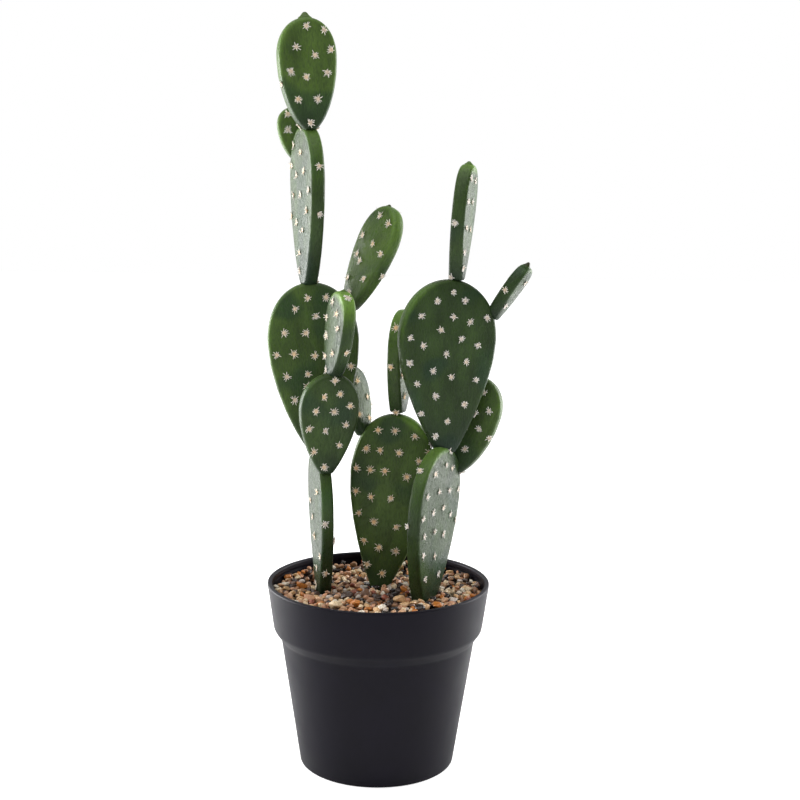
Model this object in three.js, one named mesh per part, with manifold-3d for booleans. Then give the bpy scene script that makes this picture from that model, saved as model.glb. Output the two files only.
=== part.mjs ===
// A potted paddle cactus: a nursery pot, potting soil, a gravel top dressing with a few larger
// stones, and three rooted stems of flat pads that branch from one another.
// Millimetres, +Z up. A viewer in front looks along +Y, with +X to the right.
// The origin is the middle of the pot's flat underside.
import * as THREE from "three";
import * as BufferGeometryUtils from "three/addons/utils/BufferGeometryUtils.js";
import Module from "manifold-3d";

const wasm = await Module();
wasm.setup();

// ---- Driving dimensions ----

const GAP = 0.3; // between pieces that touch

// The pot
const POT_HEIGHT = 125;
const RIM_RADIUS = 75;
const BASE_RADIUS = 52.5;
const BAND_RADIUS = 70.6; // the rim band's lower edge
const BAND_BOTTOM = 93.6;
const SHOULDER_RADIUS = 65.6; // the wall just under the band
const SHOULDER_HEIGHT = 86.6;
const WALL = 2.2;
const LIP = 4.6; // width of the turned-in lip
const LIP_DEPTH = 4;
const FLOOR = 3;
const EDGE_ROUND = 1.2;
const POT_SIDES = 48;
const DRAIN_HOLES = 6;
const DRAIN_RADIUS = 5;
const DRAIN_CIRCLE = 34;

// What the pot holds
const SOIL_TOP = 103;
const GRAVEL_TOP = 114.5; // the stones' middle height, with their tops about 2 mm higher
const GRAVEL_RIPPLE = 0.6;
const GRAVEL_RIPPLE_LENGTH = 24;
const GRAVEL_RINGS = 5;
const HEAP = { x: 20, y: 16, height: 7, spread: 11 };

// The roots
const ROOT_LENGTH = 52;
const ROOT_RADIUS = 3.6;
const ROOT_SIDES = 8;
const SIDE_ROOTS = 4;
const SIDE_ROOT_LENGTH = 20;
const SIDE_ROOT_RADIUS = 1.5;
const SIDE_ROOT_FALL = 35; // degrees below level

// The outline that every pad shares, as shares of its length or of its half width
const WIDEST = 0.66;
const FOOT = 0.15;
const CROWN = 0.57;
const SHOULDER_RISE = 0.2;
const EDGE_BEVEL = 2; // rounding of a pad's edge
const OUTLINE_STEPS = 6; // straight pieces in each of the outline's four curves

// One entry for each pad. length, width and thick are the pad's own size, and neck says how
// full it is near its foot. lean is degrees to the right, tilt degrees towards the viewer, and
// turn degrees about the pad's own length, with the face to the right when positive. A base pad
// has its foot at a place in the pot. Another pad grows on the pad named by "on", from seat:
// millimetres across and up that pad's face. nub is the radius and height of a growing tip, and
// how far across from the top it stands.
const PADS = [
  // The left stem
  {
    name: "left_base_pad", foot: [-38, 14.5, 107],
    length: 106, width: 50.5, thick: 8.5, neck: 0.39, lean: -2, tilt: 0, turn: -75,
  },
  {
    name: "left_front_pad", on: "left_base_pad", seat: [18.5, 90.5],
    length: 70, width: 41.5, thick: 8, neck: 0.37, lean: 3.5, tilt: 6, turn: 21,
  },
  {
    name: "left_front_tip_pad", on: "left_front_pad", seat: [2, 67.5], nub: [1.5, 1, 0],
    length: 57, width: 31.5, thick: 9, neck: 0.54, lean: 6, tilt: 3, turn: -62,
  },
  {
    name: "left_middle_pad", on: "left_base_pad", seat: [-2, 102],
    length: 116, width: 62, thick: 9.5, neck: 0.38, lean: -3, tilt: -2, turn: 3,
  },
  {
    name: "left_side_pad", on: "left_middle_pad", seat: [24.5, 96], nub: [1.5, 1.2, -4],
    length: 75, width: 39, thick: 9, neck: 0.42, lean: 23, tilt: 1, turn: -53,
  },
  {
    name: "left_upper_pad", on: "left_middle_pad", seat: [-1.5, 112.5],
    length: 107, width: 53, thick: 9.5, neck: 0.44, lean: -1, tilt: -0.5, turn: -69,
  },
  {
    name: "left_bud_pad", on: "left_upper_pad", seat: [-23, 84.5],
    length: 36, width: 22, thick: 7, neck: 0.5, lean: -7, tilt: -3.5, turn: 7,
  },
  {
    name: "left_top_pad", on: "left_upper_pad", seat: [7, 102.5], nub: [3.5, 3.5, 0],
    length: 72, width: 39, thick: 9.5, neck: 0.52, lean: -2.5, tilt: 2.5, turn: 14,
  },

  // The middle stem
  {
    name: "middle_base_pad", foot: [0, 26.5, 109.5],
    length: 127, width: 58, thick: 9.5, neck: 0.32, lean: 5.5, tilt: 0, turn: -4,
  },
  {
    name: "middle_side_pad", on: "middle_base_pad", seat: [-22, 106.5],
    length: 51, width: 26, thick: 8, neck: 0.44, lean: -12, tilt: -16, turn: 56,
  },
  {
    name: "middle_top_pad", on: "middle_base_pad", seat: [-0.5, 124],
    length: 74, width: 39, thick: 9.5, neck: 0.38, lean: 3, tilt: 0, turn: 72,
  },

  // The right stem
  {
    name: "right_base_pad", foot: [30.5, 1.5, 103],
    length: 114.5, width: 62, thick: 9.5, neck: 0.4, lean: 5, tilt: 0.5, turn: 62,
  },
  {
    name: "right_side_pad", on: "right_base_pad", seat: [25, 93.5],
    length: 69, width: 41, thick: 9.5, neck: 0.49, lean: 16, tilt: -3, turn: -20,
  },
  {
    name: "right_middle_pad", on: "right_base_pad", seat: [8, 108.5],
    length: 118, width: 69.5, thick: 9.5, neck: 0.3, lean: 0, tilt: 2, turn: 20,
  },
  {
    name: "right_bud_pad", on: "right_middle_pad", seat: [30, 90], nub: [2, 3, -4],
    length: 44, width: 24, thick: 8.5, neck: 0.46, lean: 35, tilt: 0, turn: 71,
  },
  {
    name: "right_top_pad", on: "right_middle_pad", seat: [5.5, 114.5], nub: [2, 2, 0],
    length: 79, width: 37, thick: 9.5, neck: 0.4, lean: 5, tilt: 0, turn: 76,
  },
];

// The larger stones on the gravel: where each lies, its half sizes, and its colour
const STONES = [
  { at: [-28, -28], half: [4.2, 3.4, 2.4], colour: 0xd2b49a },
  { at: [-14, -21], half: [3.6, 3.2, 2.3], colour: 0xc08a4c },
  { at: [3, -30], half: [3.4, 3.0, 2.3], colour: 0xe2d4b6 },
  { at: [15, -12], half: [4.0, 3.6, 2.5], colour: 0xc9ad82 },
  { at: [28, -30], half: [3.4, 3.0, 2.3], colour: 0x2c2a2b },
  { at: [40, -24], half: [4.4, 3.4, 2.4], colour: 0xc98f3e },
  { at: [50, -12], half: [3.2, 2.8, 2.2], colour: 0xd8d4cc },
  { at: [-54, 16], half: [4.4, 3.4, 2.4], colour: 0xc4903f },
  { at: [-21, -4], half: [4.0, 3.2, 2.3], colour: 0x4a4743 },
  { at: [-9, 3], half: [3.8, 3.0, 2.3], colour: 0x80706a },
  { at: [59, 12], half: [3.6, 3.0, 2.3], colour: 0xcfa565 },
  { at: [-47, -10], half: [3.8, 3.2, 2.4], colour: 0xb28a6c },
];
const STONE_LIFT = 0.8; // how far a stone's middle lies above the gravel around it

const PAD_GREEN = 0x33512a;
const POT_BLACK = 0x242328;
const SOIL_BROWN = 0x3a2a1e;
const GRAVEL_TAN = 0xa98e72;
const ROOT_STRAW = 0xb59a6d;

// ---- Helpers ----

const radians = THREE.MathUtils.degToRad;

// Turns a closed geometry into a solid that can be joined and cut.
function solidOf(geometry, matrix = new THREE.Matrix4()) {
  const bare = geometry.clone().applyMatrix4(matrix);
  bare.deleteAttribute("normal");
  bare.deleteAttribute("uv");
  const merged = BufferGeometryUtils.mergeVertices(bare, 1e-4);
  return new wasm.Manifold(
    new wasm.Mesh({
      numProp: 3,
      vertProperties: new Float32Array(merged.attributes.position.array),
      triVerts: new Uint32Array(merged.index.array),
    }),
  );
}

// Turns a solid back into a geometry with flat faces.
function geometryOf(solid) {
  const { numProp, vertProperties, triVerts } = solid.getMesh();
  const positions = new Float32Array((vertProperties.length / numProp) * 3);
  for (let i = 0; i < positions.length / 3; i++) {
    for (let k = 0; k < 3; k++) positions[3 * i + k] = vertProperties[numProp * i + k];
  }
  const geometry = new THREE.BufferGeometry();
  geometry.setAttribute("position", new THREE.BufferAttribute(positions, 3));
  geometry.setIndex(Array.from(triVerts));
  geometry.computeVertexNormals();
  return geometry;
}

function finish(colour, roughness) {
  return new THREE.MeshStandardMaterial({ color: colour, roughness, metalness: 0 });
}

// A lathe about +Z from [radius, height] pairs.
function lathe(profile, sides) {
  const points = profile.map(([radius, height]) => new THREE.Vector2(radius, height));
  return new THREE.LatheGeometry(points, sides).rotateX(Math.PI / 2);
}

// ---- The pot ----

// The outside radius of the tapered wall below the band at a height.
function wallRadius(height) {
  return BASE_RADIUS + ((SHOULDER_RADIUS - BASE_RADIUS) * height) / SHOULDER_HEIGHT;
}

// The outside radius of the rim band at a height.
function bandRadius(height) {
  const share = (height - BAND_BOTTOM) / (POT_HEIGHT - BAND_BOTTOM);
  return BAND_RADIUS + (RIM_RADIUS - BAND_RADIUS) * share;
}

function potGeometry() {
  const lipBottom = POT_HEIGHT - LIP_DEPTH;
  const profile = [
    [0, 0],
    [BASE_RADIUS - EDGE_ROUND, 0],
    [BASE_RADIUS, EDGE_ROUND],
    [SHOULDER_RADIUS, SHOULDER_HEIGHT],
    [BAND_RADIUS - EDGE_ROUND / 2, BAND_BOTTOM - EDGE_ROUND],
    [BAND_RADIUS, BAND_BOTTOM],
    [RIM_RADIUS, POT_HEIGHT - EDGE_ROUND],
    [RIM_RADIUS - EDGE_ROUND, POT_HEIGHT],
    [RIM_RADIUS - LIP + EDGE_ROUND, POT_HEIGHT],
    [RIM_RADIUS - LIP, POT_HEIGHT - EDGE_ROUND],
    [RIM_RADIUS - LIP, lipBottom],
    [bandRadius(lipBottom) - WALL, lipBottom - WALL],
    [BAND_RADIUS - WALL, BAND_BOTTOM],
    [SHOULDER_RADIUS - WALL, SHOULDER_HEIGHT],
    [wallRadius(FLOOR) - WALL, FLOOR],
    [0, FLOOR],
  ];
  let solid = solidOf(lathe(profile, POT_SIDES));
  for (let i = 0; i < DRAIN_HOLES; i++) {
    const angle = (2 * Math.PI * i) / DRAIN_HOLES;
    const hole = new THREE.CylinderGeometry(DRAIN_RADIUS, DRAIN_RADIUS, 4 * FLOOR, 12);
    hole.rotateX(Math.PI / 2);
    hole.translate(DRAIN_CIRCLE * Math.cos(angle), DRAIN_CIRCLE * Math.sin(angle), 0);
    solid = solid.subtract(solidOf(hole));
  }
  return geometryOf(solid);
}

// The largest radius that what the pot holds can have at a height.
function innerRadius(height) {
  const outer = height < SHOULDER_HEIGHT ? wallRadius(height) : bandRadius(height);
  return outer - WALL - GAP;
}

// ---- Pads ----

function padOutline({ length, width, neck }, margin) {
  const half = width / 2 + margin;
  const foot = FOOT * half;
  const bottom = -margin;
  const tip = length + margin;
  const widest = WIDEST * length;
  const fullness = (0.58 - 0.5 * neck) * length;
  const shoulder = widest + SHOULDER_RISE * length;
  const outline = new THREE.Shape();
  outline.moveTo(-foot, bottom);
  outline.lineTo(foot, bottom);
  outline.bezierCurveTo(neck * half, bottom + 0.05 * length, half, fullness, half, widest);
  outline.bezierCurveTo(half, shoulder, CROWN * half, tip, 0, tip);
  outline.bezierCurveTo(-CROWN * half, tip, -half, shoulder, -half, widest);
  outline.bezierCurveTo(-half, fullness, -neck * half, bottom + 0.05 * length, -foot, bottom);
  return outline;
}

// A pad in its own frame: its foot at the origin, its length along +Z, its face towards -Y.
function padGeometry(pad, margin = 0) {
  const depth = pad.thick + 2 * margin - 2 * EDGE_BEVEL;
  const slab = new THREE.ExtrudeGeometry(padOutline(pad, margin), {
    depth,
    curveSegments: OUTLINE_STEPS,
    bevelThickness: EDGE_BEVEL,
    bevelSize: EDGE_BEVEL,
    bevelOffset: -EDGE_BEVEL,
    bevelSegments: 2,
  });
  return slab.translate(0, 0, -depth / 2).rotateX(Math.PI / 2);
}

// The small pointed growing tip of an end pad, half of it inside the pad.
function nubGeometry(pad) {
  const [radius, height, across] = pad.nub;
  const widest = WIDEST * pad.length;
  const rim = padOutline(pad, 0).getPoints(40).filter((point) => point.y > widest);
  rim.sort((a, b) => Math.abs(a.x - across) - Math.abs(b.x - across));
  const cone = new THREE.ConeGeometry(2 * radius, 2 * height, 10).rotateX(Math.PI / 2);
  cone.rotateY(Math.atan2(across, pad.length - widest));
  return cone.translate(rim[0].x, 0, rim[0].y);
}

const padMeshes = {};
for (const pad of PADS) {
  const mesh = new THREE.Mesh(new THREE.BufferGeometry(), finish(PAD_GREEN, 0.4));
  mesh.name = pad.name;
  mesh.rotation.set(radians(pad.tilt), radians(pad.lean), radians(pad.turn), "YXZ");
  const carrier = PADS.find((other) => other.name === pad.on);
  if (carrier) {
    const seat = new THREE.Vector3(pad.seat[0], 0, pad.seat[1]);
    mesh.position.copy(padMeshes[carrier.name].localToWorld(seat));
  } else {
    mesh.position.set(...pad.foot);
  }
  mesh.updateMatrixWorld();

  let solid = solidOf(padGeometry(pad));
  if (pad.nub) solid = solid.add(solidOf(nubGeometry(pad)));
  if (carrier) {
    const toPad = mesh.matrixWorld.clone().invert().multiply(padMeshes[carrier.name].matrixWorld);
    solid = solid.subtract(solidOf(padGeometry(carrier, GAP), toPad));
  }
  mesh.geometry = geometryOf(solid);
  padMeshes[pad.name] = mesh;
}
const basePads = PADS.filter((pad) => pad.foot);

// A pad's solid where it stands, grown by a margin, for cutting what lies around it.
function padCutter(pad, margin) {
  return solidOf(padGeometry(pad, margin), padMeshes[pad.name].matrixWorld);
}

// ---- Roots ----

// The root under a base pad, with its top at the pad's foot: a taproot and its side roots.
function rootSolid(pad, margin) {
  const [x, y, z] = pad.foot;
  const taproot = lathe(
    [
      [0, -ROOT_LENGTH - margin],
      [1 + margin, -ROOT_LENGTH - margin],
      [ROOT_RADIUS * 0.6 + margin, -ROOT_LENGTH / 2],
      [ROOT_RADIUS + margin, 0],
      [ROOT_RADIUS + margin, EDGE_BEVEL],
      [0, EDGE_BEVEL],
    ],
    ROOT_SIDES,
  );
  let solid = solidOf(taproot);
  for (let i = 0; i < SIDE_ROOTS; i++) {
    const length = SIDE_ROOT_LENGTH + 2 * margin;
    const radius = SIDE_ROOT_RADIUS + margin;
    const end = SIDE_ROOT_RADIUS * 0.4 + margin;
    const side = new THREE.CylinderGeometry(end, radius, length, 6);
    side.translate(0, length / 2 - margin, 0);
    side.rotateX(Math.PI / 2).rotateY(radians(90 + SIDE_ROOT_FALL));
    side.rotateZ((2 * Math.PI * (i + 0.3)) / SIDE_ROOTS);
    side.translate(0, 0, -ROOT_LENGTH * (0.25 + 0.13 * i));
    solid = solid.add(solidOf(side));
  }
  return solidOf(geometryOf(solid), new THREE.Matrix4().makeTranslation(x, y, z));
}

// ---- Soil, gravel and stones ----

function soilGeometry() {
  const bottom = FLOOR + GAP;
  const profile = [
    [0, bottom],
    [innerRadius(bottom), bottom],
    [SHOULDER_RADIUS - WALL - GAP, SHOULDER_HEIGHT],
    [BAND_RADIUS - WALL - GAP, BAND_BOTTOM],
    [innerRadius(SOIL_TOP), SOIL_TOP],
    [0, SOIL_TOP],
  ];
  let solid = solidOf(lathe(profile, POT_SIDES));
  for (const pad of basePads) {
    solid = solid.subtract(rootSolid(pad, GAP)).subtract(padCutter(pad, GAP));
  }
  return geometryOf(solid);
}

// The height of the gravel's surface: a gentle ripple, with a heap against the middle stem.
function gravelHeight(x, y) {
  const turns = (2 * Math.PI) / GRAVEL_RIPPLE_LENGTH;
  const ripple = GRAVEL_RIPPLE * Math.sin(turns * x + 1) * Math.sin(turns * y);
  const away = Math.hypot(x - HEAP.x, y - HEAP.y) / HEAP.spread;
  return GRAVEL_TOP + ripple + HEAP.height * Math.exp(-away * away);
}

function gravelGeometry() {
  const bottom = SOIL_TOP + GAP;
  const edge = innerRadius(GRAVEL_TOP) - 0.6;
  const profile = [
    [0, bottom],
    [innerRadius(bottom), bottom],
  ];
  for (let ring = GRAVEL_RINGS; ring >= 0; ring--) {
    profile.push([(edge * ring) / GRAVEL_RINGS, GRAVEL_TOP]);
  }
  const bed = lathe(profile, POT_SIDES);
  const place = bed.attributes.position;
  for (let i = 0; i < place.count; i++) {
    if (place.getZ(i) > (bottom + GRAVEL_TOP) / 2) {
      place.setZ(i, gravelHeight(place.getX(i), place.getY(i)));
    }
  }
  let solid = solidOf(bed);
  for (const pad of basePads) {
    solid = solid.subtract(rootSolid(pad, GAP)).subtract(padCutter(pad, GAP));
  }
  for (const stone of STONES) solid = solid.subtract(stoneSolid(stone, GAP));
  return geometryOf(solid);
}

// A water-worn stone: a faceted ball squeezed to its half sizes and turned by its place.
function stoneSolid({ at: [x, y], half }, margin) {
  const ball = new THREE.IcosahedronGeometry(1, 1);
  ball.scale(half[0] + margin, half[1] + margin, half[2] + margin);
  ball.rotateZ(x + y);
  ball.translate(x, y, gravelHeight(x, y) + STONE_LIFT);
  return solidOf(ball);
}

// ---- The scene graph ----

const plant = new THREE.Group();

function addPiece(name, geometry, material) {
  const mesh = new THREE.Mesh(geometry, material);
  mesh.name = name;
  plant.add(mesh);
}

addPiece("pot", potGeometry(), finish(POT_BLACK, 0.45));
addPiece("soil", soilGeometry(), finish(SOIL_BROWN, 0.95));
addPiece("gravel_bed", gravelGeometry(), finish(GRAVEL_TAN, 0.7));
STONES.forEach((stone, i) => {
  const name = "top_stone_" + String(i + 1).padStart(2, "0");
  addPiece(name, geometryOf(stoneSolid(stone, 0)), finish(stone.colour, 0.5));
});
for (const pad of basePads) {
  const root = rootSolid(pad, 0).subtract(padCutter(pad, GAP));
  addPiece(pad.name.replace("base_pad", "root"), geometryOf(root), finish(ROOT_STRAW, 0.9));
}
for (const mesh of Object.values(padMeshes)) plant.add(mesh);

export default plant;
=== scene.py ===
"""The looks of a potted paddle cactus: waxy pads with spine clusters, river gravel and a pot.

Every place comes from the frame, in metres, with +Z up and the viewer on the -Y side. A colour is
given as sRGB hex, and a pattern's scale is one over its size in metres.
"""

import math
import random

import bmesh
import bpy
import numpy as np
from mathutils import Matrix, Vector, noise
from mathutils.bvhtree import BVHTree


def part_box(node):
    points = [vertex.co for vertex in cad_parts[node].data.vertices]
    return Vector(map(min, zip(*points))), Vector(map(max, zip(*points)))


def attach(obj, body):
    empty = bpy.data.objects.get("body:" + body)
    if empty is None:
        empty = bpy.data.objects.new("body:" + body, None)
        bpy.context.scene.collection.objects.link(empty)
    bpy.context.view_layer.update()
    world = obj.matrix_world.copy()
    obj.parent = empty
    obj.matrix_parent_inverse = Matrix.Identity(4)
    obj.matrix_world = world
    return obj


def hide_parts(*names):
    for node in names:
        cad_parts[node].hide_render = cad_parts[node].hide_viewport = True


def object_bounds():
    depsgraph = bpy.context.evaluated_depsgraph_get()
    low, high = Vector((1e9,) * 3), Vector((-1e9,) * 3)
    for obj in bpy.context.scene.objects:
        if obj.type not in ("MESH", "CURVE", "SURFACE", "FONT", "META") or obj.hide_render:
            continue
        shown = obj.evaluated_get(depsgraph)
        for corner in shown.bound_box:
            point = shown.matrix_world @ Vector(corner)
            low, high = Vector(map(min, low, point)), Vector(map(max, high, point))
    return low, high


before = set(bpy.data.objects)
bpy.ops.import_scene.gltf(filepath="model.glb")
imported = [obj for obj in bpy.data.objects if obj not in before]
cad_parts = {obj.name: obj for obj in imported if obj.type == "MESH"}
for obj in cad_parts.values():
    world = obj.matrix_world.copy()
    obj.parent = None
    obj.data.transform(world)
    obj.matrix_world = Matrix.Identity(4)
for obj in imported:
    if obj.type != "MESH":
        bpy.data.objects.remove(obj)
cad_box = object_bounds()

MM = 0.001
FAR = 0.5  # a start outside the whole plant, for rays

# ---- The camera ----

CAMERA_PLACE = Vector((0.0129, -0.867, 0.377))
CAMERA_DOWN = 8.44  # degrees below level
CAMERA_ROLL = 0.78
PICTURE = 800  # pixels along each side
FOCAL_PIXELS = 1320
SENSOR = 36.0

# ---- The pads ----

WIDEST = 0.62  # about where a pad is widest, as a share of its length
MIDDLE_PART = (0.35, 0.8)  # the share of the length over which a pad's middle line is found
MIDDLE_ROWS = 10
FRAME_ROUNDS = 4  # how often the middle line is found again from the last one
OUTLINE_POINTS = 128
LOWEST_ROW = 0.5 * MM  # the outline below the widest part is measured from here up,
ROW_STEP = 2 * MM  # in rows this far apart,
TURN_STEP = 4  # and above it by rays this many degrees apart,
TOP_REACH = 88  # out to this many each side of the top,
TIP_ANGLE = 16  # without the middle ones, which can meet a growing tip
JOINT_DEPTH = 1.5 * MM  # how far a pad's foot runs on into the pad below
JOINT_NARROWING = 0.9  # how wide the foot ends there, as a share of its width at the joint
EVEN_STEP = 0.5 * MM  # an outline is evened out in steps of this length,
EVEN_STEPS = 12  # this many to each side,
EVEN_SPREAD = 1.6 * MM  # with weights that fall off over this distance
FACE_RINGS = 9
FACE_SPACING = 0.8  # below 1, so that the rings lie closer together towards a face's middle
MIDDLE_START = 2 * MM  # how far above the foot the line lies that a face's rings close in on
DEEPEST_INSET = 0.8  # of the way to that line, for the rounded edge
EDGE_STEPS = 6
EDGE_ROUND = 2.5 * MM
RIM_BULGE = 0.3 * MM
CROWN = 0.5 * MM  # how far a face swells in the middle
WAVES = 0.35 * MM  # slow unevenness of a face
WAVE_LENGTH = 15 * MM
WAVE_SHIFT = 7  # wave lengths between two pads' places in the noise
WAVE_FADE = 3 * EDGE_ROUND  # how far in from the rim the waves reach their full height
HUMP = 0.25 * MM  # the skin swells under each spine cluster
HUMP_WIDTH = 2.4 * MM
PATTERN_SHIFT = 0.3  # metres between two pads' places in the skin's pattern

# How young each pad's skin looks, from 0, dark and bluish, to 1, yellowish. Then the yellow-green
# on its rim, partly fresh growth and partly a painted highlight where light from behind catches
# the rim: how strong it is, and where it lies and how far it spreads, in degrees from the top,
# to the right as the viewer sees the face.
PAD_LOOKS = {
    "left_base_pad": (0.15, 0.15, 60, 60),
    "left_front_pad": (0.45, 0.1, -45, 30),
    "left_front_tip_pad": (0.3, 1.0, 20, 50),
    "left_middle_pad": (0.75, 0.3, -65, 45),
    "left_side_pad": (1.0, 0.5, 20, 60),
    "left_upper_pad": (0.35, 0.45, 0, 60),
    "left_bud_pad": (1.0, 0.4, -90, 90),
    "left_top_pad": (1.0, 0.4, -35, 70),
    "middle_base_pad": (1.0, 1.0, 17, 15),
    "middle_side_pad": (0.4, 0.0, 0, 60),
    "middle_top_pad": (0.65, 0.9, 0, 50),
    "right_base_pad": (0.25, 0.5, -10, 40),
    "right_side_pad": (0.65, 0.1, 60, 60),
    "right_middle_pad": (0.3, 0.45, -40, 30),
    "right_bud_pad": (0.2, 0.3, 0, 30),
    "right_top_pad": (0.4, 0.9, 0, 22),
}

# Growing tips: radius, height and how far across from the top, and how brown each has dried,
# from 0 to 1
GROWING_TIPS = {
    "left_top_pad": (3.1 * MM, 3.5 * MM, 0, 0.2),
    "left_side_pad": (1.5 * MM, 1.4 * MM, -4 * MM, 1.0),
    "left_front_tip_pad": (1.5 * MM, 1.0 * MM, 0, 0.3),
    "right_top_pad": (2.0 * MM, 1.8 * MM, 0, 0.1),
    "right_bud_pad": (2.0 * MM, 3.2 * MM, -4 * MM, 0.9),
}
TIP_SIDES = 20
# From the sunken foot to the top: shares of the radius and of the height
TIP_PROFILE = (
    (0.0, -0.5), (1.5, -0.5), (1.45, 0.0), (1.05, 0.22), (0.78, 0.5), (0.55, 0.78), (0.3, 0.95),
    (0.0, 1.0),
)
TIP_LEVEL = 0.8  # how high on its pad a tip counts for the skin's colour, from 0 to 1
TIP_GROWTH_AND_HIGHLIGHT = 0.5  # its share of the rim's fresh growth and painted highlight

# ---- The spine clusters ----

# Where the photograph shows them, in its pixels
CLUSTER_PIXELS = {
    "left_top_pad": (
        (306, 26), (324, 30), (296, 47), (315, 55), (331, 50), (291, 71), (306, 77), (327, 72),
        (282, 84), (298, 99), (318, 99), (310, 123), (295, 130), (318, 131),
    ),
    "left_bud_pad": ((288, 114), (288, 130)),
    "left_upper_pad": (
        (294, 145), (301, 152), (292, 166), (304, 171), (297, 175), (309, 190), (294, 195),
        (301, 195), (307, 211), (292, 216), (297, 223), (303, 230), (300, 253), (300, 271),
        (319, 166), (319, 214), (317, 283),
    ),
    "left_side_pad": (
        (380, 216), (389, 224), (363, 235), (373, 244), (381, 254), (352, 252), (360, 261),
        (364, 279), (348, 278), (382, 276),
    ),
    "left_middle_pad": (
        (308, 298), (326, 297), (295, 309), (316, 316), (284, 333), (306, 333), (277, 355),
        (294, 354), (315, 356), (287, 377), (308, 374), (295, 400), (351, 366),
    ),
    "left_front_tip_pad": (
        (348, 298), (346, 353), (333, 302), (327, 317), (337, 314), (338, 329), (322, 335),
        (327, 336), (333, 353), (326, 370), (321, 356),
    ),
    "left_front_pad": (
        (335, 381), (324, 397), (340, 394), (350, 406), (316, 411), (334, 412), (346, 425),
        (309, 429), (325, 431), (339, 445), (314, 452), (324, 467), (299, 399),
    ),
    "left_base_pad": ((325, 524), (326, 573), (311, 500), (315, 536), (313, 516)),
    "middle_base_pad": (
        (378, 430), (395, 431), (415, 436), (366, 448), (380, 450), (399, 453), (419, 461),
        (356, 468), (370, 470), (385, 471), (407, 477), (356, 491), (371, 497), (391, 498),
        (359, 513), (374, 522), (396, 527), (364, 540), (379, 547), (396, 551), (367, 564),
        (382, 573),
    ),
    "middle_side_pad": ((357, 381), (367, 397), (359, 414), (369, 418)),
    "middle_top_pad": ((396, 328), (391, 367), (404, 397), (396, 412)),
    "right_base_pad": (
        (420, 471), (408, 527), (450, 451), (446, 465), (452, 468), (435, 474), (449, 490),
        (458, 489), (439, 492), (427, 497), (443, 508), (433, 513), (450, 514), (423, 519),
        (455, 520), (434, 532), (443, 534), (424, 537), (423, 556), (434, 556), (425, 579),
        (438, 574),
    ),
    "right_middle_pad": (
        (453, 292), (437, 301), (465, 301), (421, 316), (454, 317), (470, 322), (487, 318),
        (441, 330), (410, 338), (461, 339), (423, 346), (478, 345), (446, 354), (409, 363),
        (466, 362), (433, 371), (451, 377), (476, 380), (417, 384), (435, 396), (464, 404),
        (421, 413), (447, 421), (435, 436), (475, 414), (429, 446),
    ),
    "right_top_pad": (
        (455, 223), (451, 277), (471, 179), (475, 181), (468, 201), (472, 202),
        (466, 228), (470, 230), (464, 252), (463, 268),
    ),
    "right_bud_pad": ((505, 290), (525, 283), (505, 306)),
    "right_side_pad": ((489, 411), (479, 429), (465, 449), (489, 438), (462, 472)),
}

# The clusters on the sides that the photograph doesn't show
CLUSTER_SPACING = 13 * MM
ROW_SPACING = 0.82 * CLUSTER_SPACING
FIRST_ROW = 0.12  # as a share of the pad's length
ROW_REACH = 4  # clusters to each side of the middle, which is wider than any pad
UNEVENNESS = 1.1 * MM
RIM_SPACING = 36 * MM
RIM_ARC = (-140, 160)  # degrees from the top between which the rim bears clusters
RIM_START = (-20, 0)  # degrees from there to the first one
RIM_RADIUS = 0.45  # about how far the rim is from the middle, as a share of the length
RIM_UNEVENNESS = 0.6 * MM
CLUSTER_APART = 8 * MM  # no two clusters are closer
EDGE_ON_APART = 11.5 * MM  # the same on a face that the photograph shows edge-on
EDGE_ON = (0.12, 0.34)  # cosines: such a face is seen from about 70 to 83 degrees off square
FACING = 0.8  # cosine: within about 37 degrees, a surface counts as facing a direction
OTHER_PAD_APART = 3 * MM  # no cluster is closer to another pad
SEEN_WITHIN = 0.5 * MM  # how far behind a pad's surface a place still counts as seen

# Sizes in a cluster. Where there are two numbers, each is drawn between them.
CUSHION_RADIUS = 1.35 * MM
CUSHION_HEIGHT = 0.4 * MM
CUSHION_SIDES = 10
CUSHION_PROFILE = ((0.0, -0.4), (1.0, -0.4), (1.0, 0.15), (0.8, 0.7), (0.4, 0.95), (0.0, 1.0))
CUSHION_REACH = 0.12  # where the felt lies on the spines' colour ramp
SPINES = (9, 12)
SPINE_LENGTH = (1.7 * MM, 3.6 * MM)
SPINE_STAND = 2.5 * MM  # how far the longest spines stand out from the skin
SPINE_RADIUS = 0.36 * MM  # drawn stouter than the real bristles, to show at this size
SPINE_SIDES = 5
SPINE_RINGS = ((0.0, 1.0), (0.55, 0.8), (0.85, 0.5))  # share of the length and of the radius
SPINE_LEAN = (58, 88)  # degrees from straight out of the skin
SPINE_SWEEP = 0.25  # how much a whole cluster leans to one side
SPINE_JITTER = 0.3  # how far a spine is off its even spacing, as a share of that spacing
SPINE_FOOT = 0.45  # how far from the middle it stands, as a share of the cushion's radius
SPINE_DROOP = 0.12 * SPINE_LENGTH[0]  # how far its tip bends back to the skin
SPINE_TINTS = {"left": 0.6, "middle": 0.1, "right": 0.95}  # from straw to bone white, by stem
TINT_SPREAD = 0.15
SPINE_SIZES = {"left": 0.95, "middle": 1.05, "right": 0.82}

# ---- The gravel ----

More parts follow.
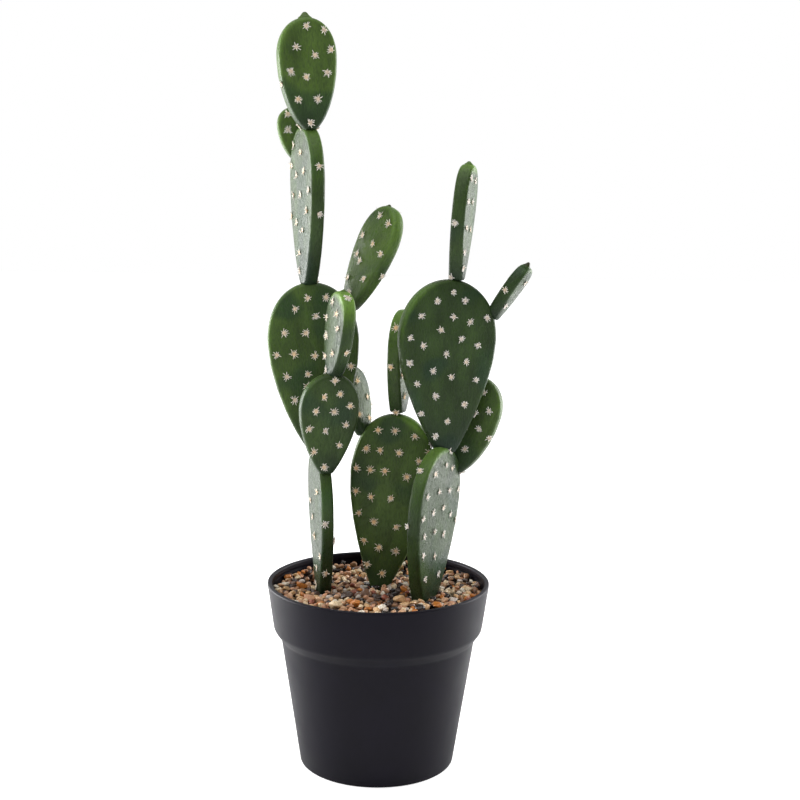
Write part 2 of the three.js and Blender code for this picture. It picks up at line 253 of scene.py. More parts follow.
PEBBLE_SIZE = (1.8 * MM, 3.6 * MM)  # half of the longest way across
PEBBLE_USUAL = 0.45 * sum(PEBBLE_SIZE)  # the commonest size
PEBBLE_WIDTH = (0.62, 0.95)  # as a share of the longest way across
PEBBLE_HEIGHT = (0.48, 0.78)
PEBBLE_TILT = 22  # degrees, as a usual lean out of level
PEBBLE_TRIES = 15000
PEBBLE_SHAPES = 24
PEBBLE_SEED = 11
PEBBLE_LAYER = 7 * MM  # how deep the loose stones reach below the surface
PEBBLE_PROUD = 0.8 * MM  # how far each may stand above it,
PEBBLE_UNEVEN = 0.8 * MM  # and how much further some may
FINE_DEPTH = 4 * MM  # stones this close to the surface have finely drawn facets
FINE, COARSE = 3, 2  # how often the ball that a chip is cut from is subdivided

# How a stone lies, as shares of its size
WALL_APART = 0.8
LARGER_STONE_APART = 0.3
FOOT_APART = 0.55
HALF_HEIGHT = 0.6
TOUCH = 0.86  # two stones touch at this share of their sizes' sum,
SETTLE = 0.72  # and the upper one settles to this share of the height that gives

BANK_HEIGHT = 5 * MM  # how much higher the gravel lies against the pot's wall
BANK_FOOT = 48 * MM  # the radius where it starts to rise
BED_THICK = 8 * MM  # the CAD bed is thinner than this only in a pad's socket
BED_HEAP = 7 * MM  # how far its heap stands over the rest
FACETS = 9
FACET_DEPTHS = (0.62, 1.0)  # how far from a chip's middle its facets lie, for a radius of 1
FACET_SHARPNESS = 34  # the higher, the narrower the worn edges between facets
FACET_WEAR = 0.05
CHIP_REACH = (0.5, 1.25)  # the least and most that its surface is from its middle
INSIDE_RADIUS = 71.3 * MM  # the pot's inside just under its lip
GRIT_DROP = 4.5 * MM  # how far the grit lies below the gravel's surface
GRIT_RIPPLE = 0.8 * MM
GRIT_RIPPLE_LENGTH = 3 * MM
GRIT_INSET = 0.98  # the surface is read this little further in, so that the edge has one too
GRIT_RINGS = 30
GRIT_SIDES = 120
STONE_DETAIL = 4
STONE_SEED = 5

# Each larger stone's kind of rock, by its place on the gravel's colour ramp
STONE_KINDS = {
    "top_stone_01": 0.78, "top_stone_02": 0.60, "top_stone_03": 0.86, "top_stone_04": 0.70,
    "top_stone_05": 0.03, "top_stone_06": 0.58, "top_stone_07": 0.97, "top_stone_08": 0.61,
    "top_stone_09": 0.14, "top_stone_10": 0.20, "top_stone_11": 0.66, "top_stone_12": 0.45,
}

# ---- The pot ----

POT_SIDES = 160
SIDE_LEVELS = (2 * MM, 60 * MM)  # two heights on the tapered side, which give its slope
BAND_BOTTOM = 93.6 * MM
SHOULDER_HEIGHT = 86.6 * MM
POT_WALL = 2.2 * MM
LIP_WIDTH = 3.4 * MM
LIP_DEPTH = 4 * MM
POT_FLOOR = 3 * MM
BASE_ROUND = 0.9 * MM
SHOULDER_ROUND = 1.2 * MM
BAND_ROUND = 1.6 * MM
RIM_ROUND = 1.3 * MM
LIP_ROUND = 0.8 * MM
LIP_FILLET = 0.6 * MM
INSIDE_ROUND = 1 * MM
ROUND_STEPS = 5
DRAIN_HOLES = 6
DRAIN_RADIUS = 5 * MM
DRAIN_CIRCLE = 34 * MM
DRAIN_SIDES = 40

# ---- The studio ----

FLOOR_HALF = 6.0
FLOOR_DROP = 0.2 * MM  # keeps the floor clear of the pot's base
AIR_STRENGTH = 0.22
# Each soft panel's middle, its width and height, and its power in watts
PANELS = {
    "back_left": ((-0.53, 0.79, 0.28), 0.4, 0.56, 0.84),
    "back_right": ((0.53, 0.79, 0.28), 0.4, 0.56, 1.05),
    "side_left": ((-0.81, 0.32, 0.28), 0.56, 0.56, 10.8),
    "side_right": ((0.8, 0.35, 0.36), 0.56, 0.72, 10),
    "back_top": ((0.0, 1.5, 0.78), 1.6, 0.4, 2.6),
    "left": ((-1.5, -0.2, 0.7), 0.9, 0.9, 2.5),
    "front_left": ((-0.9, -1.3, 1.2), 0.7, 0.7, 3),
}
SKY_STRENGTH = 1.8
SKY_WIDTH = 80  # degrees across, so that its shadows are very soft
SKY_TILT = (12, -6)  # degrees about X and Y


# ---- Helpers ----

def linear(hex_colour):
    """An sRGB hex colour as a linear red, green, blue and alpha."""
    channels = [int(hex_colour[i:i + 2], 16) / 255 for i in (0, 2, 4)]
    return [c / 12.92 if c <= 0.04045 else ((c + 0.055) / 1.055) ** 2.4 for c in channels] + [1.0]


def node(tree, kind, inputs=None, stops=None, **settings):
    """Adds a shader node. An input is given by its name or number, as another node's output or
    as a value, settings are the node's own properties, and stops are a ramp's hex colours."""
    made = tree.nodes.new("ShaderNode" + kind)
    for name, value in settings.items():
        setattr(made, name, value)
    for socket, value in (inputs or {}).items():
        if isinstance(value, bpy.types.NodeSocket):
            tree.links.new(value, made.inputs[socket])
        else:
            made.inputs[socket].default_value = value
    if stops:
        elements = made.color_ramp.elements
        elements.remove(elements[1])
        elements[0].position, elements[0].color = stops[0][0], linear(stops[0][1])
        for place, colour in stops[1:]:
            elements.new(place).color = linear(colour)
    return made


# A colour Mix node's sockets, which share their names with those for plain numbers
COLOUR_A, COLOUR_B, COLOUR_RESULT = 6, 7, 2


def new_material(name):
    material = bpy.data.materials.new(name)
    material.use_nodes = True
    material.node_tree.nodes.clear()
    return material, material.node_tree


def finish_material(tree, surface):
    """Ends a material with its shader, from the values and links of the shader's sockets."""
    shader = node(tree, "BsdfPrincipled", surface)
    node(tree, "OutputMaterial", {"Surface": shader.outputs["BSDF"]})


def new_piece(name, mesh, material):
    """A smooth piece that rides with the plant and takes its finish from a slot."""
    piece = bpy.data.objects.new(name, mesh)
    bpy.context.scene.collection.objects.link(piece)
    mesh.materials.append(material)
    mesh.polygons.foreach_set("use_smooth", [True] * len(mesh.polygons))
    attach(piece, "root")
    return piece


def volume(points, faces):
    """The volume that faces close off, which is negative when they point in."""
    points = np.asarray(points, float)
    triangles = np.array([
        (face[0], face[i], face[i + 1]) for face in faces for i in range(1, len(face) - 1)
    ])
    first, second, third = (points[triangles[:, k]] for k in range(3))
    return np.einsum("ij,ij->", first, np.cross(second, third)) / 6


class Shape:
    """Points and faces that are gathered part by part, with named values for each point."""

    def __init__(self):
        self.points = []
        self.faces = []
        self.values = {}

    def add(self, points, faces, **values):
        """Adds a closed part, with its faces turned to point out."""
        start = len(self.points)
        step = -1 if volume(points, faces) < 0 else 1
        self.points.extend(tuple(p) for p in points)
        self.faces.extend([start + i for i in face][::step] for face in faces)
        for name, value in values.items():
            self.values.setdefault(name, []).extend(np.broadcast_to(value, len(points)))

    def mesh(self, name):
        mesh = bpy.data.meshes.new(name)
        mesh.from_pydata(self.points, [], self.faces)
        mesh.update()
        for key, numbers in self.values.items():
            add_values(mesh, key, numbers)
        return mesh


def add_values(mesh, name, values):
    """Stores one number, or one vector, for each point, for its material to read."""
    values = np.asarray(values, np.float32)
    kind, key = ("FLOAT", "value") if values.ndim == 1 else ("FLOAT_VECTOR", "vector")
    mesh.attributes.new(name, kind, "POINT").data.foreach_set(key, values.ravel())


def weld(points, faces):
    """Joins points that coincide. Returns the points that are kept, and the faces on them."""
    _, kept, where = np.unique(points.round(7), axis=0, return_index=True, return_inverse=True)
    where = where.ravel()
    joined = [list(dict.fromkeys(int(where[i]) for i in face)) for face in faces]
    return kept, [face for face in joined if len(face) > 2]


def tree_of(mesh):
    corners = [v.co.copy() for v in mesh.vertices]
    return BVHTree.FromPolygons(corners, [list(p.vertices) for p in mesh.polygons])


def ring_faces(rings, sides):
    """The quads between closed rings of points that follow one another."""
    return [
        (a * sides + i, a * sides + (i + 1) % sides,
         (a + 1) * sides + (i + 1) % sides, (a + 1) * sides + i)
        for a in range(rings - 1) for i in range(sides)
    ]


def turned(profile, sides):
    """A profile of radii and heights, turned round the Z axis: its points and faces."""
    points = []
    for radius, height in profile:
        for i in range(sides):
            angle = 2 * math.pi * i / sides
            points.append((radius * math.cos(angle), radius * math.sin(angle), height))
    points = np.array(points)
    kept, faces = weld(points, ring_faces(len(profile), sides))
    return points[kept], faces


# ---- Materials ----

def waxy_skin():
    """Cactus skin: green flesh under a satin wax bloom, paler and yellower on young edges, with a
    painted highlight on the rim where light from behind catches it and painted shade towards each
    pad's foot. It shows fine lengthwise wrinkles, with painted shade in their furrows, and a grain
    that grazing light picks out."""
    material, tree = new_material("waxy_cactus_skin")
    place = node(tree, "Attribute", attribute_name="pad_place").outputs["Vector"]
    rim, height, growth, youth, dryness = (
        node(tree, "Attribute", attribute_name="pad_" + value).outputs["Fac"]
        for value in ("rim", "height", "growth", "youth", "dryness")
    )

    # Blotches of green about 12 mm across, drawn out along the pad
    drawn_out = node(tree, "Mapping", {"Vector": place, "Scale": (1, 1, 0.45)}).outputs["Vector"]
    blotch = node(tree, "TexNoise", {"Vector": drawn_out, "Scale": 80, "Detail": 4}).outputs["Fac"]
    old_flesh = node(tree, "ValToRGB", {"Fac": blotch}, [
        (0.30, "1a2b16"), (0.50, "23361c"), (0.72, "2e4523"),
    ]).outputs["Color"]
    young_flesh = node(tree, "ValToRGB", {"Fac": blotch}, [
        (0.30, "445829"), (0.50, "4f672f"), (0.72, "5c7637"),
    ]).outputs["Color"]

    # Bluish areas about 30 mm across
    area = node(tree, "TexNoise", {"Vector": place, "Scale": 34, "Detail": 1}).outputs["Fac"]
    bluish = node(tree, "MapRange", {
        "Value": area, "From Min": 0.52, "From Max": 0.66, "To Min": 0.0, "To Max": 0.5,
    }, interpolation_type="SMOOTHSTEP").outputs["Result"]

    # Yellow-green on the rim, and up to 8 mm in from it where there is much of it: partly new
    #     # growth, partly a painted highlight where light from behind catches the rim
    reach = node(tree, "Math", {0: growth, 1: 0.006, 2: 0.002}, operation="MULTIPLY_ADD")
    near_rim = node(tree, "MapRange", {
        "Value": rim, "From Min": reach.outputs["Value"], "From Max": 0.001,
        "To Min": 0.0, "To Max": 1.0,
    }, interpolation_type="SMOOTHSTEP").outputs["Result"]
    fresh_growth_and_highlight = node(tree, "Math", {0: near_rim, 1: growth}, operation="MULTIPLY").outputs["Value"]

    # Painted shade: each pad is darker towards its foot
    shaded_foot = node(tree, "MapRange", {
        "Value": height, "From Min": 0.28, "From Max": 0.0, "To Min": 0.0, "To Max": 0.75,
    }).outputs["Result"]

    # Wrinkles 1 mm apart along the pad, and a 0.5 mm grain. The furrows are duller, and darker with
    # painted shade.
    folds = node(tree, "Mapping", {"Vector": place, "Scale": (1, 1, 0.3)}).outputs["Vector"]
    wrinkle = node(tree, "TexNoise", {"Vector": folds, "Scale": 1000, "Detail": 2}).outputs["Fac"]
    furrow_shade = node(tree, "MapRange", {
        "Value": wrinkle, "From Min": 0.6, "From Max": 0.35, "To Min": 0.0, "To Max": 0.3,
    }).outputs["Result"]
    sheen = node(tree, "MapRange", {
        "Value": wrinkle, "From Min": 0.6, "From Max": 0.4, "To Min": 0.26, "To Max": 0.5,
    })
    grain = node(tree, "TexNoise", {"Vector": place, "Scale": 2000, "Detail": 2}).outputs["Fac"]
    creased = node(tree, "Bump", {"Height": wrinkle, "Strength": 1.0, "Distance": 0.0003})
    bumpy = node(tree, "Bump", {
        "Height": grain, "Strength": 0.25, "Distance": 0.0001, "Normal": creased.outputs["Normal"],
    })

    # Each colour lies over those before it
    skin = old_flesh
    layers = (
        (youth, young_flesh), (bluish, linear("1d3a2c")), (fresh_growth_and_highlight, linear("779e42")),
        (shaded_foot, linear("182a20")), (furrow_shade, linear("142014")), (dryness, linear("3a2f22")),
    )
    for share, colour in layers:
        skin = node(tree, "Mix", {"Factor": share, COLOUR_A: skin, COLOUR_B: colour},
                    data_type="RGBA").outputs[COLOUR_RESULT]
    finish_material(tree, {
        "Base Color": skin, "Roughness": sheen.outputs["Result"], "IOR": 1.33,
        "Normal": bumpy.outputs["Normal"],
    })
    return material


def straw_spine():
    """Dry spines over a felt cushion: cream tips that darken to orange tan at the cushion."""
    material, tree = new_material("dry_straw_spine")
    reach = node(tree, "Attribute", attribute_name="spine_reach").outputs["Fac"]
    tint = node(tree, "Attribute", attribute_name="spine_tint").outputs["Fac"]
    warm = node(tree, "ValToRGB", {"Fac": reach}, [
        (0.0, "e2a866"), (0.12, "f8cf9a"), (0.4, "fcebcd"), (1.0, "fdf5e6"),
    ]).outputs["Color"]
    bony = node(tree, "ValToRGB", {"Fac": reach}, [
        (0.0, "c4ab90"), (0.12, "dccfc0"), (0.4, "efe8df"), (1.0, "f8f5f1"),
    ]).outputs["Color"]
    colour = node(tree, "Mix", {"Factor": tint, COLOUR_A: warm, COLOUR_B: bony}, data_type="RGBA")
    # Felt hairs about 0.3 mm apart
    place = node(tree, "TexCoord").outputs["Object"]
    hairs = node(tree, "TexNoise", {"Vector": place, "Scale": 3000, "Detail": 2})
    bump = node(tree, "Bump", {"Height": hairs.outputs["Fac"], "Strength": 0.4, "Distance": 0.0002})
    finish_material(tree, {
        "Base Color": colour.outputs[COLOUR_RESULT], "Roughness": 0.6, "IOR": 1.5,
        "Normal": bump.outputs["Normal"],
    })
    return material


def moulded_pot():
    """Black polypropylene, injection moulded and satin: a soft sheen with a very fine texture."""
    material, tree = new_material("moulded_black_polypropylene")
    place = node(tree, "TexCoord").outputs["Object"]
    # A faint cloudiness about 30 mm across
    cloud = node(tree, "TexNoise", {"Vector": place, "Scale": 35, "Detail": 3}).outputs["Fac"]
    colour = node(tree, "ValToRGB", {"Fac": cloud}, [(0.35, "07060f"), (0.65, "0c0a15")])
    # The mould's spark finish, 0.5 mm across
    texture = node(tree, "TexNoise", {"Vector": place, "Scale": 2000, "Detail": 1})
    bump = node(tree, "Bump", {
        "Height": texture.outputs["Fac"], "Strength": 0.15, "Distance": 0.0001,
    })
    wear = node(tree, "MapRange", {
        "Value": cloud, "From Min": 0.3, "From Max": 0.7, "To Min": 0.4, "To Max": 0.5,
    })
    # The pigment gives the sheen a violet cast
    finish_material(tree, {
        "Base Color": colour.outputs["Color"], "Roughness": wear.outputs["Result"], "IOR": 1.28,
        "Specular Tint": (0.93, 0.9, 1.0, 1.0), "Normal": bump.outputs["Normal"],
    })
    return material


def river_gravel():
    """Tumbled river gravel of mixed rock, damp enough to shine. Each stone has a colour of its own,
    mottled with grains."""
    material, tree = new_material("tumbled_river_gravel")
    place = node(tree, "TexCoord").outputs["Object"]
    kind = node(tree, "Attribute", attribute_name="stone_kind").outputs["Fac"]
    rock = node(tree, "ValToRGB", {"Fac": kind}, [
        (0.00, "221d1d"), (0.10, "4a3a34"), (0.18, "7f5f4c"), (0.25, "a67a58"), (0.34, "cb9673"),
        (0.45, "dcaf88"), (0.56, "cc7e36"), (0.64, "e3b988"), (0.75, "ecd3ac"), (0.84, "f4e8d4"),
        (0.90, "9a553e"), (0.95, "cfc2b6"),
    ])
    rock.color_ramp.interpolation = "CONSTANT"
    # Mineral grains about 1 mm across
    grains = node(tree, "TexNoise", {"Vector": place, "Scale": 900, "Detail": 4}).outputs["Fac"]
    shade = node(tree, "MapRange", {
        "Value": grains, "From Min": 0.3, "From Max": 0.7, "To Min": 0.55, "To Max": 1.15,
    })
    colour = node(tree, "Mix", {
        "Factor": shade.outputs["Result"],
        COLOUR_A: linear("463427"), COLOUR_B: rock.outputs["Color"],
    }, data_type="RGBA")
    bump = node(tree, "Bump", {"Height": grains, "Strength": 0.35, "Distance": 0.0003})
    damp = node(tree, "MapRange", {"Value": kind, "To Min": 0.2, "To Max": 0.35})
    finish_material(tree, {
        "Base Color": colour.outputs[COLOUR_RESULT], "Roughness": damp.outputs["Result"],
        "IOR": 1.5, "Normal": bump.outputs["Normal"],
    })
    return material


def grit_and_gap_shade():
    """Damp grit and dust that fills between the stones, with grains about 1 mm across. It is dark
    partly in its own colour and partly as painted shade for the gaps between the stones.
    """
    material, tree = new_material("damp_dark_grit")
    place = node(tree, "TexCoord").outputs["Object"]
    grit = node(tree, "TexVoronoi", {"Vector": place, "Scale": 900})
    # Dark colours: partly the grit's own, partly painted shade for the gaps between stones
    colour = node(tree, "ValToRGB", {"Fac": grit.outputs["Color"]}, [
        (0.2, "16110e"), (0.5, "281f19"), (0.8, "463829"),
    ])
    bump = node(tree, "Bump", {
        "Height": grit.outputs["Distance"], "Strength": 0.8, "Distance": 0.0006,
    })
    finish_material(tree, {
        "Base Color": colour.outputs["Color"], "Roughness": 0.7, "Normal": bump.outputs["Normal"],
    })
    return material


def potting_soil():
    """Bark and peat potting mix: dark and dull, with crumbs about 3 mm across."""
    material, tree = new_material("bark_potting_soil")
    place = node(tree, "TexCoord").outputs["Object"]
    crumbs = node(tree, "TexVoronoi", {"Vector": place, "Scale": 320})
    colour = node(tree, "ValToRGB", {"Fac": crumbs.outputs["Color"]}, [
        (0.2, "1e150e"), (0.5, "37271a"), (0.8, "54402c"),
    ])
    bump = node(tree, "Bump", {
        "Height": crumbs.outputs["Distance"], "Strength": 0.9, "Distance": 0.001,
    })
    finish_material(tree, {
        "Base Color": colour.outputs["Color"], "Roughness": 0.92, "Normal": bump.outputs["Normal"],
    })
    return material


def corky_root():
    """A cactus root: dull straw brown cork, with flakes about 2 mm across."""
    material, tree = new_material("corky_root")
    place = node(tree, "TexCoord").outputs["Object"]
    bark = node(tree, "TexNoise", {"Vector": place, "Scale": 500, "Detail": 4})
    colour = node(tree, "ValToRGB", {"Fac": bark.outputs["Fac"]}, [
        (0.3, "6f5637"), (0.6, "a98b60"), (0.8, "c4ab83"),
    ])
    bump = node(tree, "Bump", {"Height": bark.outputs["Fac"], "Strength": 0.6, "Distance": 0.0005})
    finish_material(tree, {
        "Base Color": colour.outputs["Color"], "Roughness": 0.85, "Normal": bump.outputs["Normal"],
    })
    return material


def light_table():
    """Matt white acrylic that is lit from below as well. The viewer sees it white to the horizon,
    while the plant and the pot aren't lit by it."""
    material, tree = new_material("matt_white_acrylic")
    seen = node(tree, "LightPath").outputs["Is Camera Ray"]
    glow = node(tree, "Math", {0: seen, 1: 0.6}, operation="MULTIPLY").outputs["Value"]
    place = node(tree, "TexCoord").outputs["Object"]
    # A faint mottle about 2.5 mm across
    mottle = node(tree, "TexNoise", {"Vector": place, "Scale": 400, "Detail": 2})
    colour = node(tree, "ValToRGB", {"Fac": mottle.outputs["Fac"]}, [
        (0.3, "e9e9e9"), (0.7, "efefef"),
    ])
    finish_material(tree, {
        "Base Color": colour.outputs["Color"], "Roughness": 0.9,
        "Emission Color": (1, 1, 1, 1), "Emission Strength": glow,
    })
    return material


SKIN = waxy_skin()
SPINE = straw_spine()
POT_PLASTIC = moulded_pot()
GRAVEL = river_gravel()
GAP_SHADE_GRIT = grit_and_gap_shade()


# ---- Camera and pixels ----

def place_camera():
    """The camera at the photograph's viewing angle."""
    data = bpy.data.cameras.new("camera")
    camera = bpy.data.objects.new("camera", data)
    bpy.context.scene.collection.objects.link(camera)
    bpy.context.scene.camera = camera
    data.sensor_width = SENSOR
    data.lens = SENSOR * FOCAL_PIXELS / PICTURE
    aim = Matrix.Rotation(math.radians(90 - CAMERA_DOWN), 4, "X")
    roll = Matrix.Rotation(math.radians(CAMERA_ROLL), 4, "Z")
    camera.matrix_world = Matrix.Translation(CAMERA_PLACE) @ aim @ roll
    return camera


camera = place_camera()


def pixel_direction(pixel):
    """The way from the camera through a pixel of the photograph."""
    across = (pixel[0] - PICTURE / 2) / FOCAL_PIXELS
    up = (PICTURE / 2 - pixel[1]) / FOCAL_PIXELS
    return (camera.matrix_world.to_3x3() @ Vector((across, up, -1))).normalized()


# ---- Pads ----

def widest_face(mesh):
    """The direction of a CAD pad's flat face, on the viewer's side."""
    areas = {}
    for face in mesh.polygons:
        normal = -face.normal if face.normal.y > 0 else face.normal
        key = tuple(round(c, 2) for c in normal)
        areas.setdefault(key, Vector())
        areas[key] += normal * face.area
    total = max(areas.values(), key=lambda v: v.length)
    return np.array(total.normalized())


class Pad:
    """A pad's own frame and outline, read from its CAD node. A point's own coordinates are
    across the face, out of it towards the viewer, and up along the pad from its foot."""

    def __init__(self, name, number):
        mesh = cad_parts[name].data
        self.name = name
        self.number = number
        self.chance = random.Random(number)
        self.solid = tree_of(mesh)
        corners = np.array([v.co for v in mesh.vertices])
        out = widest_face(mesh)
        along = np.array((0, 0, 1)) - out * out[2]
        self.set_frame((corners.min(0) + corners.max(0)) / 2, out, along)
        for _ in range(FRAME_ROUNDS):
            heights = self.own(corners)[:, 2]
            self.foot = self.world((0, 0, heights.min()))
            self.length = np.ptp(heights)
            self.straighten()
        depths = self.own(corners)[:, 1]
        self.thick = np.ptp(depths)
        self.foot = self.world((0, (depths.min() + depths.max()) / 2, 0))
        self.outline = self.smooth_outline()
        self.length = self.outline[:, 1].max()

    def set_frame(self, foot, out, along):
        along = along / np.linalg.norm(along)
        self.foot = foot
        self.axes = np.array([np.cross(along, out), out, along])

    def own(self, points):
        return (np.asarray(points) - self.foot) @ self.axes.T

    def world(self, points):
        return self.foot + np.asarray(points) @ self.axes

    def edge_from(self, start, way):
        """The first point of the node, in its own coordinates, from far away on one side."""
        begin = np.asarray(start) + FAR * np.asarray(way)
        direction = -np.asarray(way) @ self.axes
        hit = self.solid.ray_cast(Vector(self.world(begin)), Vector(direction), 2 * FAR)[0]
        return None if hit is None else self.own(hit)

    def half_width(self, height):
        """The node's reach to the left and to the right at a height, where it has one."""
        sides = [self.edge_from((0, 0, height), (hand, 0, 0)) for hand in (-1, 1)]
        return [side[0] for side in sides if side is not None]

    def straighten(self):
        """Lays the own frame's middle line halfway between the node's two sides."""
        rows = [share * self.length for share in np.linspace(*MIDDLE_PART, MIDDLE_ROWS)]
        middles = [sum(self.half_width(row)) / 2 for row in rows]
        slope, offset = np.polyfit(rows, middles, 1)
        along = self.axes[2] + slope * self.axes[0]
        self.set_frame(self.world((offset, 0, 0)), self.axes[1], along)

    def smooth_outline(self):
        """The node's outline without its facets, its growing tip or the cut at its foot."""
        centre = WIDEST * self.length
        angles = range(-TOP_REACH, TOP_REACH + 1, TURN_STEP)
        turns = np.radians([angle for angle in angles if abs(angle) > TIP_ANGLE])
        reaches = []
        for turn in turns:
            way = (math.sin(turn), 0, math.cos(turn))
            edge = self.edge_from((0, 0, centre), way)
            reaches.append(math.hypot(edge[0], edge[2] - centre))
        top = np.polyfit(turns ** 2, reaches, 3)  # even in the turn, so both sides match
        sides = []
        for height in np.arange(LOWEST_ROW, centre, ROW_STEP):
            reach = self.half_width(height)
            if reach:
                sides.append((max(abs(x) for x in reach), height))
        foot_width, foot_height = sides[0]
        bottom = foot_height - JOINT_DEPTH
        half = [(0, bottom), (JOINT_NARROWING * foot_width, bottom)] + sides
        for turn in np.radians(range(TOP_REACH, -1, -TURN_STEP)):
            reach = np.polyval(top, turn ** 2)
            half.append((reach * math.sin(turn), centre + reach * math.cos(turn)))
        half[-1] = (0, half[-1][1])
        loop = np.array(half + [(-x, z) for x, z in half[-2:0:-1]])
        return rounded_loop(loop)


def rounded_loop(loop):
    """A closed outline, evened out over about 2 mm, as OUTLINE_POINTS points equally spaced."""
    loop = equally_spaced(loop, EVEN_STEP)
    shifts = range(-EVEN_STEPS, EVEN_STEPS + 1)
    weights = [math.exp(-0.5 * (shift * EVEN_STEP / EVEN_SPREAD) ** 2) for shift in shifts]
    loop = sum(w * np.roll(loop, s, axis=0) for w, s in zip(weights, shifts)) / sum(weights)
    return equally_spaced(loop)


def equally_spaced(loop, spacing=None):
    """Points along a closed outline, about a spacing apart or else OUTLINE_POINTS of them."""
    closed = np.vstack([loop, loop[:1]])
    reach = np.concatenate([[0], np.cumsum(np.linalg.norm(np.diff(closed, axis=0), axis=1))])
    count = 2 * round(reach[-1] / spacing / 2) if spacing else OUTLINE_POINTS
    places = np.arange(count) * reach[-1] / count
    return np.stack([np.interp(places, reach, closed[:, k]) for k in (0, 1)], axis=1)


def pad_rings(pad):
    """A pad's surface in its own frame, as rings from the middle of its front face over the rim
    to the middle of its back face: points, and how far each lies in from the rim."""
    outline = pad.outline
    low = outline[:, 1].min() + MIDDLE_START
    middle_line = np.stack([
        np.zeros(len(outline)), np.clip(outline[:, 1], low, WIDEST * pad.length),
    ], axis=1)
    inward = middle_line - outline
    width = np.linalg.norm(inward, axis=1)
    flat = pad.thick / 2 - EDGE_ROUND
    front = []  # each ring's inset, its share of the rest of the way to the middle, and its depth
    for k in range(FACE_RINGS, 0, -1):
        share = (k / FACE_RINGS) ** FACE_SPACING
        front.append((EDGE_ROUND, share, pad.thick / 2 + CROWN * (1 - (1 - share) ** 2)))
    for k in range(EDGE_STEPS + 1):
        angle = math.pi / 2 * (1 - k / EDGE_STEPS)
        inset = EDGE_ROUND * (1 - math.cos(angle)) + RIM_BULGE
        front.append((inset, 0, flat + EDGE_ROUND * math.sin(angle)))
    rings = front + [(0, 0, 0)] + [(inset, share, -depth) for inset, share, depth in front[::-1]]
    points, insets = [], []
    for inset, share, depth in rings:
        edge = np.clip(inset / width, 0, DEEPEST_INSET)
        along = edge + share * (1 - edge)
        across, up = (outline + inward * along[:, None]).T
        points.append(np.stack([across, np.full(len(outline), depth), up], axis=1))
        insets.append(along * width)
    return np.concatenate(points), np.concatenate(insets), len(rings)


def growing_tip(radius, height):
    """A small flared tip that sinks a little into the rim, up the +Z axis."""
    return turned([(across * radius, up * height) for across, up in TIP_PROFILE], TIP_SIDES)


def pad_skin(pad, clusters):
    """The skin of a pad, with a hump under each spine cluster."""
    points, insets, rings = pad_rings(pad)
    kept, faces = weld(points, ring_faces(rings, len(pad.outline)))
    points, insets = points[kept], insets[kept]
    shift = Vector((WAVE_SHIFT * pad.number, 0, 0))
    rough = np.array([noise.noise(Vector(point) / WAVE_LENGTH + shift) for point in points])
    swell = WAVES * rough * np.clip(insets / WAVE_FADE, 0, 1)
    for place, _ in clusters:
        away = np.linalg.norm(points - pad.own(place), axis=1)
        swell += HUMP * np.exp(-(away / HUMP_WIDTH) ** 2) * np.clip(insets / EDGE_ROUND, 0, 1)
    points[:, 1] += swell * np.sign(points[:, 1])

    shape = Shape()
    youth, strength, angle, spread = PAD_LOOKS[pad.name]
    turns = np.degrees(np.arctan2(points[:, 0], points[:, 2] - WIDEST * pad.length))
    # The rim's yellow-green: fresh growth, and a painted highlight where light from behind catches
    # it
    growth = strength * np.exp(-((turns - angle) / spread) ** 2)
    shape.add(
        pad.world(points), faces, pad_rim=insets, pad_height=points[:, 2] / pad.length,
        pad_growth=growth, pad_youth=youth, pad_dryness=0,
    )
    own = list(points)
    if pad.name in GROWING_TIPS:
        radius, height, across, dryness = GROWING_TIPS[pad.name]
        tip_points, tip_faces = growing_tip(radius, height)
        share = np.clip(tip_points[:, 2] / height, 0, 1)
        rim = pad.outline[pad.outline[:, 1] > WIDEST * pad.length]
        foot = rim[np.abs(rim[:, 0] - across).argmin()]
        lean = Matrix.Rotation(math.atan2(foot[0], foot[1] - WIDEST * pad.length), 3, "Y")
        tip_points = tip_points @ np.array(lean).T + (foot[0], 0, foot[1])
        shape.add(
            pad.world(tip_points), tip_faces, pad_rim=0, pad_height=TIP_LEVEL,
            pad_growth=TIP_GROWTH_AND_HIGHLIGHT * strength, pad_youth=youth,
            pad_dryness=dryness * np.sqrt(share),
        )
        own.extend(tip_points)
    mesh = shape.mesh(pad.name + "_skin")
    add_values(mesh, "pad_place", np.array(own) + (PATTERN_SHIFT * pad.number, 0, 0))
    return mesh


# ---- Spine clusters ----

def nearest_pad(pads, origin, direction):
    """How far away a ray meets a pad."""
    hits = [pad.solid.ray_cast(origin, direction)[3] for pad in pads]
    return min((hit for hit in hits if hit is not None), default=math.inf)


def in_photograph(pads, place, normal):
    """Whether the camera would see spines that stand at this place."""
    way = place + normal * SPINE_STAND - CAMERA_PLACE
    return nearest_pad(pads, CAMERA_PLACE, way.normalized()) > way.length - SEEN_WITHIN


def seen_edge_on(pad, place, normal):
    """Whether a place on a flat face is seen so slantingly that its clusters can't be counted."""
    flat = abs(normal.dot(Vector(pad.axes[1]))) > FACING
    slant = normal.dot((CAMERA_PLACE - place).normalized())
    return flat and EDGE_ON[0] < slant < EDGE_ON[1]


def seen_clusters(pad):
    """The clusters that the photograph shows, on the surface under their pixels."""
    found = []
    for pixel in CLUSTER_PIXELS.get(pad.name, ()):
        direction = pixel_direction(pixel)
        place, normal, _, _ = pad.surface.ray_cast(CAMERA_PLACE, direction)
        if place is None:
            beside = CAMERA_PLACE + direction * (Vector(pad.foot) - CAMERA_PLACE).dot(direction)
            place, normal, _, _ = pad.surface.find_nearest(beside)
        found.append((place, normal))
    return found


